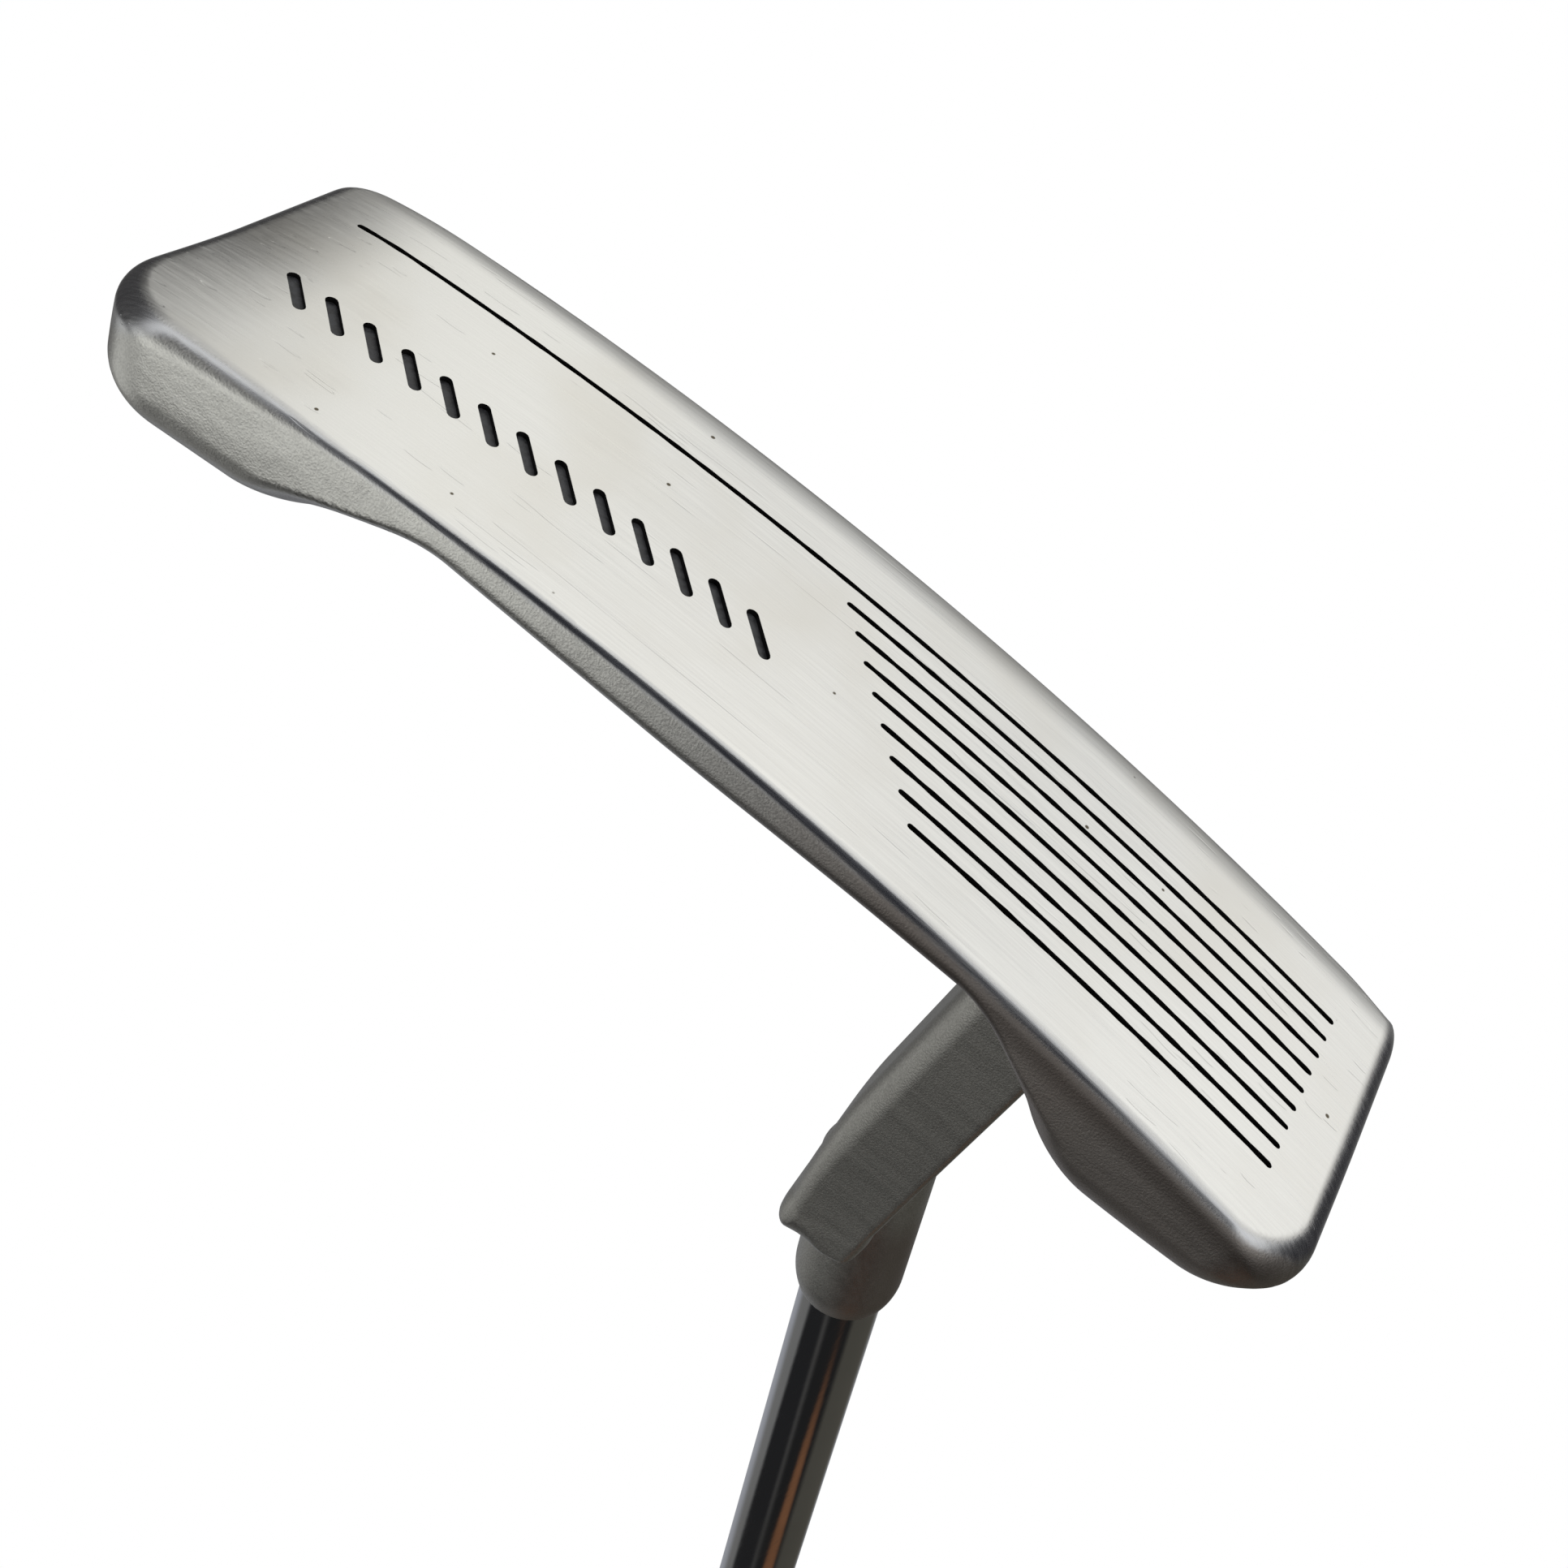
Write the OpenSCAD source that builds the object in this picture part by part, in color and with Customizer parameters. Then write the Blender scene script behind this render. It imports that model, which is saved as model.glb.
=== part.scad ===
// Blade putter: a cast head with a bent neck, a stepped steel shaft and a rubber grip.
// Frame: +X to the toe, +Y to the target, +Z up. The origin is the lowest point of the
// sole, on the long sole line. The shaft leans back to the heel side at its lie angle.

/* [Head] */
// Length of the head from the sole's lowest point to the toe end
toe_len = 59.6; // [50:0.1:62]
// Length of the head from the sole's lowest point to the heel end
heel_len = 60.5; // [50:0.1:62]
// Distance from the long sole line forward to the face at the sole
face_y = 9.7; // [7:0.1:12]
// Distance from the long sole line back to the back wall
back_y = 27.2; // [24:0.1:32]
// Radius of the sole's curve from heel to toe
rocker_r = 410; // [250:5:800]
// Loft of the face in degrees
loft = 3.5; // [0:0.5:6]
// Height of the top line above the sole's lowest point
blade_h = 25.5; // [22:0.5:30]
// Thickness of the blade behind the face
blade_t = 6.8; // [5:0.1:9]
// Height of the cavity floor, which is the top of the back flange
flange_h = 3.9; // [3:0.1:7]
// Height of the heel and toe weights
weight_h = 13; // [9:0.1:16]
// Radius of the head's corners in plan
corner_r = 5.5; // [3:0.5:8]

/* [Neck] */
// Lie angle between the shaft and the ground
lie = 70.8; // [66:0.1:76]
// Where the shaft axis meets the sole plane, towards the heel
axis_x = 14.8; // [8:0.1:22]
// How far the shaft axis stands forward of the long sole line
axis_y = 9.4; // [6:0.1:14]
// Outer diameter of the hosel
hosel_d = 12.2; // [11:0.1:14]
// Height of the hosel's top along the shaft axis
hosel_top = 86.5; // [76:0.5:94]
// Depth of the hosel bore
bore_depth = 22; // [18:0.5:26]
// Width of the neck post from heel to toe
post_w = 10.2; // [7:0.1:11]
// Depth of the neck post from front to back
post_t = 11.5; // [9:0.1:14]
// Height of the neck post's top along the shaft axis
post_top = 65.4; // [58:0.1:70]

/* [Sole engraving] */
// Half the length of the long sole line
line_half = 53; // [40:0.5:54]
// Distance between neighbouring sole grooves
groove_pitch = 2.37; // [2:0.01:2.8]
// Width of a sole groove
groove_w = 0.6; // [0.4:0.05:1]
// Number of short grooves
groove_count = 8; // [2:1:9]
// Toe end of the first short groove, measured from the sole's lowest point
groove_end = -0.7; // [-10:0.1:4]
// How much nearer the heel each further groove ends
groove_step = 2.2; // [0:0.1:3]
// Depth of the engraving
engrave_depth = 0.8; // [0.5:0.05:1.2]
// Depth of the paint that lies in the engraving
paint_depth = 0.3; // [0.1:0.05:0.5]

/* [Shaft] */
// Playing length from the sole to the end of the grip, along the shaft
club_len = 876; // [820:1:930]
// Outer diameter of the shaft tip
tip_d = 9.4; // [8.6:0.05:10]
// Outer diameter of the shaft butt
butt_d = 14.7; // [14:0.1:15.8]
// Wall of the shaft tube
shaft_wall = 0.45; // [0.4:0.05:1]
// Plain length of the shaft above its tip, before the first step
first_step = 170; // [100:1:200]
// Distance between steps
step_pitch = 25; // [15:1:27]

/* [Grip] */
// Length of the grip
grip_len = 268; // [240:1:300]
// Diameter of the grip's mouth
grip_mouth_d = 19; // [18:0.1:22]
// Width of the grip at its fullest part
grip_w = 27; // [24:0.5:32]

/* [Hidden] */
$fn = 96;
facets = 32;                 // sides of the rounded shapes that hull() blends
over = 1;                    // how far a cutter passes the surface it cuts
head_len = toe_len + heel_len;
sole_edge_y = back_y - 1.1;  // the back wall bulges this far past the sole
post_toe_x = -28.8;          // toe side of the neck post
post_edge_r = 1.8;           // rounding of the post's upright edges
post_back_y = -6;            // back face of the neck post
weight_toe_x = 34;           // where the toe weight begins
weight_heel_x = -38;         // where the heel weight begins
bore_fit = 0.2;              // epoxy gap between the shaft tip and the bore
bore_bottom = hosel_top - bore_depth;
bore_r = tip_d / 2 + bore_fit;
hosel_r = hosel_d / 2;
hosel_bottom = 55;           // the hosel's lower end, inside the neck
hosel_round = 8;             // radius of the arc that rounds the hosel's top
hosel_drop = sqrt(hosel_round * hosel_round - pow(hosel_round - hosel_r + bore_r, 2));
tip_at = bore_bottom + 0.5;  // the shaft tip stops just above the bore's bottom
step_count = 12;
step_len = 3;                // length of the cone at each step
step_gain = (butt_d - tip_d) / step_count;
step_end = tip_at + first_step + step_count * step_pitch;
grip_start = club_len - grip_len;
cap_t = 4;                   // thickness of the grip's butt cap
tape_t = 0.15;               // thickness of the grip tape
tape_gap = 6;                // bare shaft between the grip's mouth and its tape
shaft_end = club_len - cap_t;
grip_bore_d = butt_d + 2 * tape_t;
vent_d = 3;
thumb_x = 9.8;               // place of the thumb rest on the fullest part of the grip
slice_t = 0.01;
// Stations up the grip: distance from its mouth, width, and place of the thumb rest.
grip_stations = [
    [0, grip_mouth_d, thumb_x - 1.2],
    [60, grip_mouth_d + 2, thumb_x - 1],
    [150, grip_w - 2, thumb_x],
    [215, grip_w, thumb_x],
    [grip_len - cap_t - slice_t, grip_w - 1, thumb_x],
];
grip_line_t = 0.5;
grip_line_w = 1.4;
grip_line_at = 165;
grip_line_len = 60;
band_len = 40;
band_t = 0.12;
band_at = step_end + 18;
mark_y = -13.1;              // middle of the engraved mark
mark_rise = 3;               // how far one slanted bar climbs between its round ends
mark_w = 1.1;                // width of one bar of the mark
mark_start = 2.6;            // middle of the mark's first bar, at its heel end
mark_pitch = 3.9;
mark_bars = 13;
sight_len = 16;
sight_w = 0.9;
sight_depth = 0.5;

// The sole's curve as a full disc that other shapes are cut with.
module rocker_disc(r, y0, y1) {
    translate([0, y1, rocker_r])
        rotate([90, 0, 0]) cylinder(h = y1 - y0, r = r, $fn = 720);
}

// Everything inside runs along the shaft axis, measured from the sole plane.
module on_shaft_axis() {
    translate([-axis_x, axis_y, 0]) rotate([0, lie - 90, 0]) children();
}

// Rectangle with round corners, given by its low corner and its high corner.
module round_rect(low, high, r) {
    for (x = [low.x + r, high.x - r], y = [low.y + r, high.y - r])
        translate([x, y]) circle(r = r);
    translate([low.x + r, low.y]) square([high.x - low.x - 2 * r, high.y - low.y]);
    translate([low.x, low.y + r]) square([high.x - low.x, high.y - low.y - 2 * r]);
}

// Outline of the head seen from above.
module head_plan() {
    round_rect([-heel_len, -back_y], [toe_len, face_y], corner_r);
}

// Outline of the blade seen from the front, with its shoulders rounded.
module blade_front() {
    round_rect([-heel_len, -corner_r], [toe_len, blade_h], corner_r);
}

// Space behind the leaning face plane.
module behind_face() {
    translate([0, face_y, 0]) rotate([loft, 0, 0])
        translate([-head_len, -100, -50]) cube([2 * head_len, 100, 100]);
}

module blade() {
    intersection() {
        translate([0, face_y, 0]) rotate([90, 0, 0])
            linear_extrude(blade_t) blade_front();
        linear_extrude(blade_h) head_plan();
    }
}

module flange() {
    linear_extrude(flange_h) head_plan();
}

// One of the two weights at the ends of the flange, with its long edges rounded.
module weight(x0, x1, soft_r) {
    y1 = face_y - blade_t / 2;
    intersection() {
        translate([x0, 0, 0]) rotate([90, 0, 90])
            linear_extrude(x1 - x0) hull() {
                translate([-back_y + soft_r, weight_h - soft_r]) circle(r = soft_r, $fn = facets);
                translate([-back_y, 0]) square([1, 1]);
                translate([y1 - 1, 0]) square([1, weight_h]);
            }
        linear_extrude(weight_h) head_plan();
    }
}

// Upright post with rounded edges, cut square to the shaft at its top.
module neck_post() {
    front_y = post_back_y + post_t;
    intersection() {
        translate([0, 0, flange_h - over]) linear_extrude(hosel_top)
            round_rect([post_toe_x - post_w, post_back_y], [post_toe_x, front_y], post_edge_r);
        on_shaft_axis() translate([-head_len / 2, -head_len / 2, -hosel_top])
            cube([head_len, head_len, hosel_top + post_top]);
    }
}

// Cylinder with a rounded top that holds the shaft.
module hosel() {
    on_shaft_axis() rotate_extrude() intersection() {
        union() {
            square([hosel_r, hosel_top - hosel_drop]);
            translate([hosel_r - hosel_round, hosel_top - hosel_drop]) circle(r = hosel_round);
        }
        translate([0, hosel_bottom]) square([hosel_r, hosel_top - hosel_bottom]);
    }
}

// Block that joins the post to the hosel, flush with the post on the toe side.
module bridge() {
    on_shaft_axis() translate([-hosel_r, post_back_y - axis_y + post_edge_r, hosel_bottom])
        cube([hosel_d, axis_y - post_back_y - post_edge_r, post_top - hosel_bottom]);
}

module neck() {
    neck_post();
    difference() {
        union() {
            hosel();
            bridge();
        }
        translate([post_toe_x, -head_len / 2, 0]) cube([head_len, head_len, post_top]);
    }
}

// The skin of the sole between two depths, as wide as asked.
module sole_skin(low, high, y0, y1) {
    difference() {
        rocker_disc(rocker_r - low, y0, y1);
        rocker_disc(rocker_r - high, y0 - over, y1 + over);
    }
}

// A round-ended slot seen from below, from point a to point b.
module slot(a, b, w) {
    length = norm(b - a);
    translate(a) rotate(atan2(b.y - a.y, b.x - a.x)) {
        translate([0, -w / 2]) square([length, w]);
        for (x = [0, length]) translate([x, 0]) circle(d = w);
    }
}

// One slot engraved between two depths along the sole's curve.
module engraved(a, b, w, low, high) {
    intersection() {
        translate([0, 0, -2 * over]) linear_extrude(20) slot(a, b, w);
        sole_skin(low, high, min(a.y, b.y) - w, max(a.y, b.y) + w);
    }
}

module long_line(low, high) {
    engraved([-line_half, 0], [line_half, 0], groove_w, low, high);
}

// Short grooves behind the long line, in steps that end nearer and nearer the heel.
module short_grooves(low, high) {
    for (i = [1 : groove_count]) {
        y = -i * groove_pitch;
        engraved([-line_half, y], [groove_end - (i - 1) * groove_step, y], groove_w, low, high);
    }
}

// The mark: a plain row of slanted bars, in line with the staggered groove ends.
module motif(low, high) {
    for (i = [0 : mark_bars - 1]) {
        middle = [mark_start + i * mark_pitch, mark_y];
        half = [mark_rise / 2, mark_rise / 2];
        engraved(middle - half, middle + half, mark_w, low, high);
    }
}

module sight_line(low, high) {
    translate([-sight_w / 2, -sole_edge_y + 4, low]) cube([sight_w, sight_len, high - low]);
}

module head_casting() {
    color("silver") difference() {
        union() {
            intersection() {
                union() {
                    blade();
                    flange();
                    weight(weight_toe_x, toe_len, 4);
                    weight(-heel_len, weight_heel_x, 4);
                }
                behind_face();
                rocker_disc(rocker_r, -back_y - over, face_y + over);
            }
            neck();
        }
        on_shaft_axis() translate([0, 0, bore_bottom])
            cylinder(h = bore_depth + over, r = bore_r);
        long_line(-over, engrave_depth);
        short_grooves(-over, engrave_depth);
        motif(-over, engrave_depth);
        sight_line(flange_h - sight_depth, flange_h + over);
    }
}

module long_line_fill() {
    color("black") long_line(engrave_depth - paint_depth, engrave_depth);
}

module short_groove_fill() {
    color("black") short_grooves(engrave_depth - paint_depth, engrave_depth);
}

module motif_fill() {
    color("dimgray") motif(engrave_depth - paint_depth, engrave_depth);
}

module sight_line_fill() {
    color("black") sight_line(flange_h - sight_depth, flange_h - 0.1);
}

// Radius of the shaft's outside above the n-th step.
function shaft_r(n) = (tip_d + n * step_gain) / 2;

// The stepped outline of the shaft as a solid, thinner all round by the inset.
module stepped_rod(inset, low, high) {
    translate([0, 0, low]) cylinder(h = tip_at + first_step - low, r = shaft_r(0) - inset);
    for (i = [1 : step_count]) {
        z = tip_at + first_step + (i - 1) * step_pitch;
        top = i == step_count ? high : z + step_pitch;
        translate([0, 0, z])
            cylinder(h = step_len, r1 = shaft_r(i - 1) - inset, r2 = shaft_r(i) - inset);
        translate([0, 0, z + step_len]) cylinder(h = top - z - step_len, r = shaft_r(i) - inset);
    }
}

module shaft() {
    color("gainsboro") on_shaft_axis() difference() {
        stepped_rod(0, tip_at, shaft_end);
        stepped_rod(shaft_wall, tip_at - over, shaft_end + over);
    }
}

module hosel_epoxy() {
    color("tan") on_shaft_axis() difference() {
        translate([0, 0, bore_bottom]) cylinder(h = bore_depth, r = bore_r);
        translate([0, 0, tip_at]) cylinder(h = bore_depth + over, d = tip_d);
    }
}

module tip_plug() {
    color("burlywood") on_shaft_axis()
        translate([0, 0, tip_at]) cylinder(h = 18, d = tip_d - 2 * shaft_wall);
}

module shaft_band() {
    color("slategray") on_shaft_axis() translate([0, 0, band_at]) difference() {
        cylinder(h = band_len, d = butt_d + 2 * band_t);
        translate([0, 0, -over]) cylinder(h = band_len + 2 * over, d = butt_d);
    }
}

module grip_tape() {
    color("beige") on_shaft_axis() translate([0, 0, grip_start + tape_gap]) difference() {
        cylinder(h = grip_len - tape_gap - cap_t, d = butt_d + 2 * tape_t);
        translate([0, 0, -over]) cylinder(h = grip_len, d = butt_d);
    }
}

// Grip section: a round back with a flat thumb rest on the side away from the player.
module grip_section(w, flat_x) {
    intersection() {
        circle(d = w, $fn = facets);
        translate([-w, -w]) square([w + flat_x, 2 * w]);
    }
}

module grip_slice(station) {
    translate([0, 0, station[0]]) linear_extrude(slice_t) grip_section(station[1], station[2]);
}

module grip() {
    color("dimgray") on_shaft_axis() translate([0, 0, grip_start]) difference() {
        for (i = [0 : len(grip_stations) - 2]) hull() {
            grip_slice(grip_stations[i]);
            grip_slice(grip_stations[i + 1]);
        }
        translate([0, 0, -over]) cylinder(h = grip_len + over, d = grip_bore_d);
        grip_line(over);
    }
}

module grip_cap() {
    color("black") on_shaft_axis() translate([0, 0, shaft_end]) difference() {
        linear_extrude(cap_t) grip_section(grip_stations[4][1], grip_stations[4][2]);
        translate([0, 0, -over]) cylinder(h = cap_t + 2 * over, d = vent_d);
    }
}

// The painted line in the thumb rest, from its floor outwards.
module grip_line(height) {
    translate([thumb_x - grip_line_t, -grip_line_w / 2, grip_line_at])
        cube([height, grip_line_w, grip_line_len]);
}

module grip_line_fill() {
    color("white") on_shaft_axis() translate([0, 0, grip_start]) grip_line(grip_line_t);
}

head_casting();
long_line_fill();
short_groove_fill();
motif_fill();
sight_line_fill();
shaft();
hosel_epoxy();
tip_plug();
shaft_band();
grip_tape();
grip();
grip_cap();
grip_line_fill();
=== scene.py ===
"""Looks for a blade putter: cast steel head with a bent neck, chromed stepped shaft, rubber grip.

Frame: metres, +X to the toe, +Y to the target, +Z up, origin at the sole's lowest point.
The head is a smooth field in millimetres that is meshed, pulled onto its surface and engraved.
"""

import math

import bpy
import numpy as np
import openvdb
from mathutils import Matrix, Vector


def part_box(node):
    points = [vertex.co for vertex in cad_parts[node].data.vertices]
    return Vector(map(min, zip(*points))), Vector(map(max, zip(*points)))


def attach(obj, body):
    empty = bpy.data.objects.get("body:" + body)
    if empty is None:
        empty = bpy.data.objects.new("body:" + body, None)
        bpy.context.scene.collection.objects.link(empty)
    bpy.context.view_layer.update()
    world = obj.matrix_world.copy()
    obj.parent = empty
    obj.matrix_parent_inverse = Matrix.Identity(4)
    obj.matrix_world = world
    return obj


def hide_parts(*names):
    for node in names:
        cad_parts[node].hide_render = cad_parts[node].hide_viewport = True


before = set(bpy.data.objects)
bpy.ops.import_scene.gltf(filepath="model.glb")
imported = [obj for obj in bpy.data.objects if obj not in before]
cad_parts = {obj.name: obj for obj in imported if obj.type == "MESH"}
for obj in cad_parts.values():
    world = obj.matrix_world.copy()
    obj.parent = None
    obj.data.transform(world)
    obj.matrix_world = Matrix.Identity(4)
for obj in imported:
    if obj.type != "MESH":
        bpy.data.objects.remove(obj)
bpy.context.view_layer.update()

MM = 0.001

# ---------------------------------------------------------------- driving sizes, millimetres
TOE_X, HEEL_X = 60.1, -61.1            # the ends of the head
TOE_LEAN, HEEL_LEAN = math.radians(8), math.radians(12)
FACE_Y, SOLE_BACK_Y = 9.7, -26.1       # the face at the sole, and the sole's crisp back edge
SWELL, SWELL_Z = 1.1, 9                # how far the back wall swells out, and where it is upright
ROCKER_R = 410.0                       # the sole's curve from heel to toe
FRONT_ROLL_Y, TOE_ROLL_X = 4.0, 47.0   # where the sole starts to roll up to the face and the toe
FRONT_ROLL, TOE_ROLL = 0.045, 0.0062   # how fast it rolls up, per square millimetre
LOFT = math.radians(3.5)
TOP_Z, BLADE_BACK_Y = 25.5, 1.2        # the blade's top line and its back at the cavity floor
BLADE_END_LEAN, BLADE_BACK_LEAN = math.radians(7), math.radians(4)
FLOOR_Z, FLOOR_RISE = 3.5, 0.4         # cavity floor by the neck, and its rise towards the toe
WEIGHT_Z, WEIGHT_ROUND = 13.0, 4.6     # heel and toe weights
TOE_WEIGHT_X, TOE_WEIGHT_LEAN, TOE_WEIGHT_SLOPE = 33.5, math.radians(40), 0.13
HEEL_WEIGHT_X, HEEL_WEIGHT_LEAN, HEEL_WEIGHT_DROP = -34.5, math.radians(42), 0.0032
LIE = math.radians(70.8)
AXIS_X, AXIS_Y = -14.8, 9.4            # where the shaft axis meets the sole plane
HOSEL_R, HOSEL_TOP, HOSEL_LIP = 6.1, 86.5, 4.2
HOSEL_FOOT, BRIDGE_FOOT = 60.5, 60.0   # along the shaft axis, where both start
BORE_R, BORE_BOTTOM = 4.9, 64.5
POST_TOE_X, POST_HEEL_X = -28.8, -39.0
POST_BACK_Y, POST_FRONT_Y = -6.0, 5.5
POST_FOOT_Z, POST_TOP = 5.2, 65.4      # height of its foot, and its top along the shaft axis
TUCK_LEAN, TUCK_Z = math.radians(20), 60   # the slant that trims the hosel's foot on the toe side
LINE_HALF, GROOVE_W, GROOVE_PITCH, GROOVE_COUNT = 53.0, 0.6, 2.37, 8
GROOVE_END, GROOVE_STEP = -0.7, 2.2
LINE_WOBBLE, GROOVE_WOBBLE = 0.035, 0.045   # how unevenly their edges are cut
MARK_Y, MARK_START, MARK_PITCH, MARK_BARS, MARK_HALF, MARK_W = -13.1, 2.6, 3.9, 13, 1.5, 1.1
SIGHT_W, SIGHT_Y, SIGHT_LEN, SIGHT_DEPTH = 0.9, -22.1, 16.0, 0.5
ENGRAVE, STAND_OFF = 0.8, 0.6          # depth of the engravings; how far their cutters stand out
HEAD_BOX = (-63, -30, -3), (62, 18, 85)   # room for the casting when it is meshed
VOXEL = 0.4                            # pitch of the casting's mesh
TIP_AT, SHAFT_END = 65.0, 872.0        # both ends of the shaft, measured along its axis
TIP_R, BUTT_R, SHAFT_WALL = 4.7, 7.35, 0.45
FIRST_STEP, STEP_PITCH, STEP_COUNT, STEP_LEN = 170.0, 25.0, 12, 3.0
GRIP_START, GRIP_END = 608.0, 872.0
GRIP_LEN = GRIP_END - GRIP_START
GRIP_SIDES = 180
GRIP_BORE_R, VENT_R = 7.5, 1.5
THUMB_X = 9.8                          # the grip's flat thumb rest, on the side away from the player
DIMPLE, DIMPLE_PITCH, DIMPLES_ROUND = 0.34, 3.2, 12
RIB, RIB_PITCH = 0.16, 2.4
MOUTH_ROUND = 1.2                      # how much the grip draws in at its mouth
LINE_AT, LINE_LEN, LINE_W, LINE_T = 165.0, 60.0, 1.4, 0.5
RULE_APART, RULE_W = 0.032, 0.0016     # the shaft band's two rules, metres
FLOOR_AT, FLOOR_HALF = -0.35, 3.0      # studio floor, metres; the club is held in the air above it

SHAFT_DIR = np.array([-math.cos(LIE), 0.0, math.sin(LIE)])
SHAFT_SIDE = np.array([math.sin(LIE), 0.0, math.cos(LIE)])


# ---------------------------------------------------------------- field helpers
def meet(a, b, r):
    """Where both solids are: their edge is rounded with radius r."""
    return np.minimum(-r, np.maximum(a, b)) + np.hypot(np.maximum(r + a, 0), np.maximum(r + b, 0))


def join(a, b, r):
    """Either solid: their inner corner is filled with radius r."""
    return np.maximum(r, np.minimum(a, b)) - np.hypot(np.maximum(r - a, 0), np.maximum(r - b, 0))


def step(low, high, v):
    """Smooth 0 to 1 as v goes from low to high."""
    t = np.clip((v - low) / (high - low), 0, 1)
    return t * t * (3 - 2 * t)


def mix(a, b, t):
    """a turning into b as t goes from 0 to 1."""
    return a + (b - a) * t


def lean(a, angle, b):
    """The plane a <= 0, tipped by an angle so that it draws in as b grows."""
    return a * math.cos(angle) + b * math.sin(angle)


# ---------------------------------------------------------------- the head's parts
def walls(x, y, z):
    """The upright sides of the head, with its four corners rounded in plan."""
    swell = SWELL * (1 - np.clip(1 - z / SWELL_Z, 0, 1) ** 2)
    front = lean(y - FACE_Y, LOFT, z)
    back = SOLE_BACK_Y - swell - y
    toe = lean(x - TOE_X, TOE_LEAN, z - 2)
    heel = lean(HEEL_X - x, HEEL_LEAN, z - 3)
    toe_corner = mix(8.4, 4.5, step(-20, 0, y))
    heel_corner = mix(7.0, 2.2, step(-20, -2, y))
    corner = mix(heel_corner, toe_corner, step(-20, 20, x))
    return meet(np.maximum(front, back), np.maximum(toe, heel), corner)


def sole_height(x, y):
    """The sole's rocker, rolled up along the face and, less so behind, at the toe."""
    front, toe = np.maximum(y - FRONT_ROLL_Y, 0), np.maximum(x - TOE_ROLL_X, 0)
    share = mix(0.25, 1.0, step(-24, -8, y))
    return x * x / (2 * ROCKER_R) + FRONT_ROLL * front * front + TOE_ROLL * share * toe * toe


def sole_edge(x, y):
    """Radius of the edge between sole and walls: crisp behind, soft in front and at the ends."""
    behind = mix(1.3, 0.7, step(-34, 4, x))
    along = mix(behind, 1.9, step(-24, -8, y))
    heel = mix(3.6, 3.3, step(-24, -8, y))
    return mix(mix(along, 2.2, step(30, 56, x)), heel, step(-52.5, -59, x))


def weight(z, top, side):
    """A heel or toe weight above the sole, between its top and its inner plane."""
    return meet(z - top, side, WEIGHT_ROUND)


def blade(x, y, z):
    """The blade above the sole: its top line, its round shoulders and its leaning back."""
    toe, heel = lean(x - TOE_X, BLADE_END_LEAN, z - 6), lean(HEEL_X - x, BLADE_END_LEAN, z - 6)
    outline = meet(z - TOP_Z, np.maximum(toe, heel), 8.5)
    return meet(outline, lean(BLADE_BACK_Y - y, BLADE_BACK_LEAN, z - 5), 1.1)


def top_edge(y, z):
    """Radius of the edge between walls and upper surfaces: fullest along the weights."""
    behind = mix(1.7, WEIGHT_ROUND, step(4.5, 9, z))
    return mix(behind, 1.1, step(-6, 0, y))


def neck(x, y, z):
    """The upright post, the hosel along the shaft axis in front of it, and the bridge between."""
    u = (x - AXIS_X) * SHAFT_SIDE[0] + z * SHAFT_SIDE[2]
    s = (x - AXIS_X) * SHAFT_DIR[0] + z * SHAFT_DIR[2]
    v = y - AXIS_Y
    top = s - POST_TOP
    toe_side = meet(meet(x - POST_TOE_X, u - HOSEL_R - 1.1, 6.5), top, 1.8)
    heel_side = meet(POST_HEEL_X - x, top, 0.8)
    sides = np.maximum(toe_side, heel_side)
    edge = mix(0.7, 2.8, step(-37, -33, x))
    post = meet(sides, np.maximum(POST_BACK_Y - y, y - POST_FRONT_Y), edge)
    lip = np.clip((s - (HOSEL_TOP - HOSEL_LIP)) / HOSEL_LIP, 0, 1)
    barrel = np.hypot(u, v) - (HOSEL_R - lip * lip)
    hosel = meet(meet(barrel, s - HOSEL_TOP, 0.25), HOSEL_FOOT - s, 4.0)
    bridge = meet(sides, np.maximum(POST_BACK_Y + 1 - y, v), np.minimum(edge, 1.9))
    bridge = meet(bridge, BRIDGE_FOOT - s, 3.0)
    tuck = lean(x - POST_TOE_X, TUCK_LEAN, y - POST_FRONT_Y + TUCK_Z - z)
    return join(join(post, meet(bridge, tuck, 2.0), 1.5), meet(hosel, tuck, 2.0), 2.2)


def casting(x, y, z):
    """Signed distance to the whole casting, in millimetres, negative inside."""
    toe_top = WEIGHT_Z + TOE_WEIGHT_SLOPE * (x - 44)
    heel_top = WEIGHT_Z - HEEL_WEIGHT_DROP * np.minimum(x + 38, 0) ** 2
    toe_side = lean(TOE_WEIGHT_X - x, TOE_WEIGHT_LEAN, z - 8)
    heel_side = lean(x - HEEL_WEIGHT_X, HEEL_WEIGHT_LEAN, z - 8)
    above = z - FLOOR_Z - FLOOR_RISE * step(-20, 4, x)
    above = join(above, weight(z, toe_top, toe_side), 5.0)
    above = join(above, weight(z, heel_top, heel_side), 3.0)
    above = join(above, blade(x, y, z), 2.6)
    body = meet(above, walls(x, y, z), top_edge(y, z))
    body = meet(body, sole_height(x, y) - z, sole_edge(x, y))
    stem = np.maximum(neck(x, y, z), POST_FOOT_Z - z)
    return join(body, stem, 2.6)


# ---------------------------------------------------------------- meshing
def gradient(field, p, h=0.02):
    """The field's slope at each point, from steps of h to either side."""
    g = np.empty_like(p)
    for k in range(3):
        d = np.zeros(3)
        d[k] = h
        g[:, k] = field(*(p + d).T) - field(*(p - d).T)
    return g / (2 * h)


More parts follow.
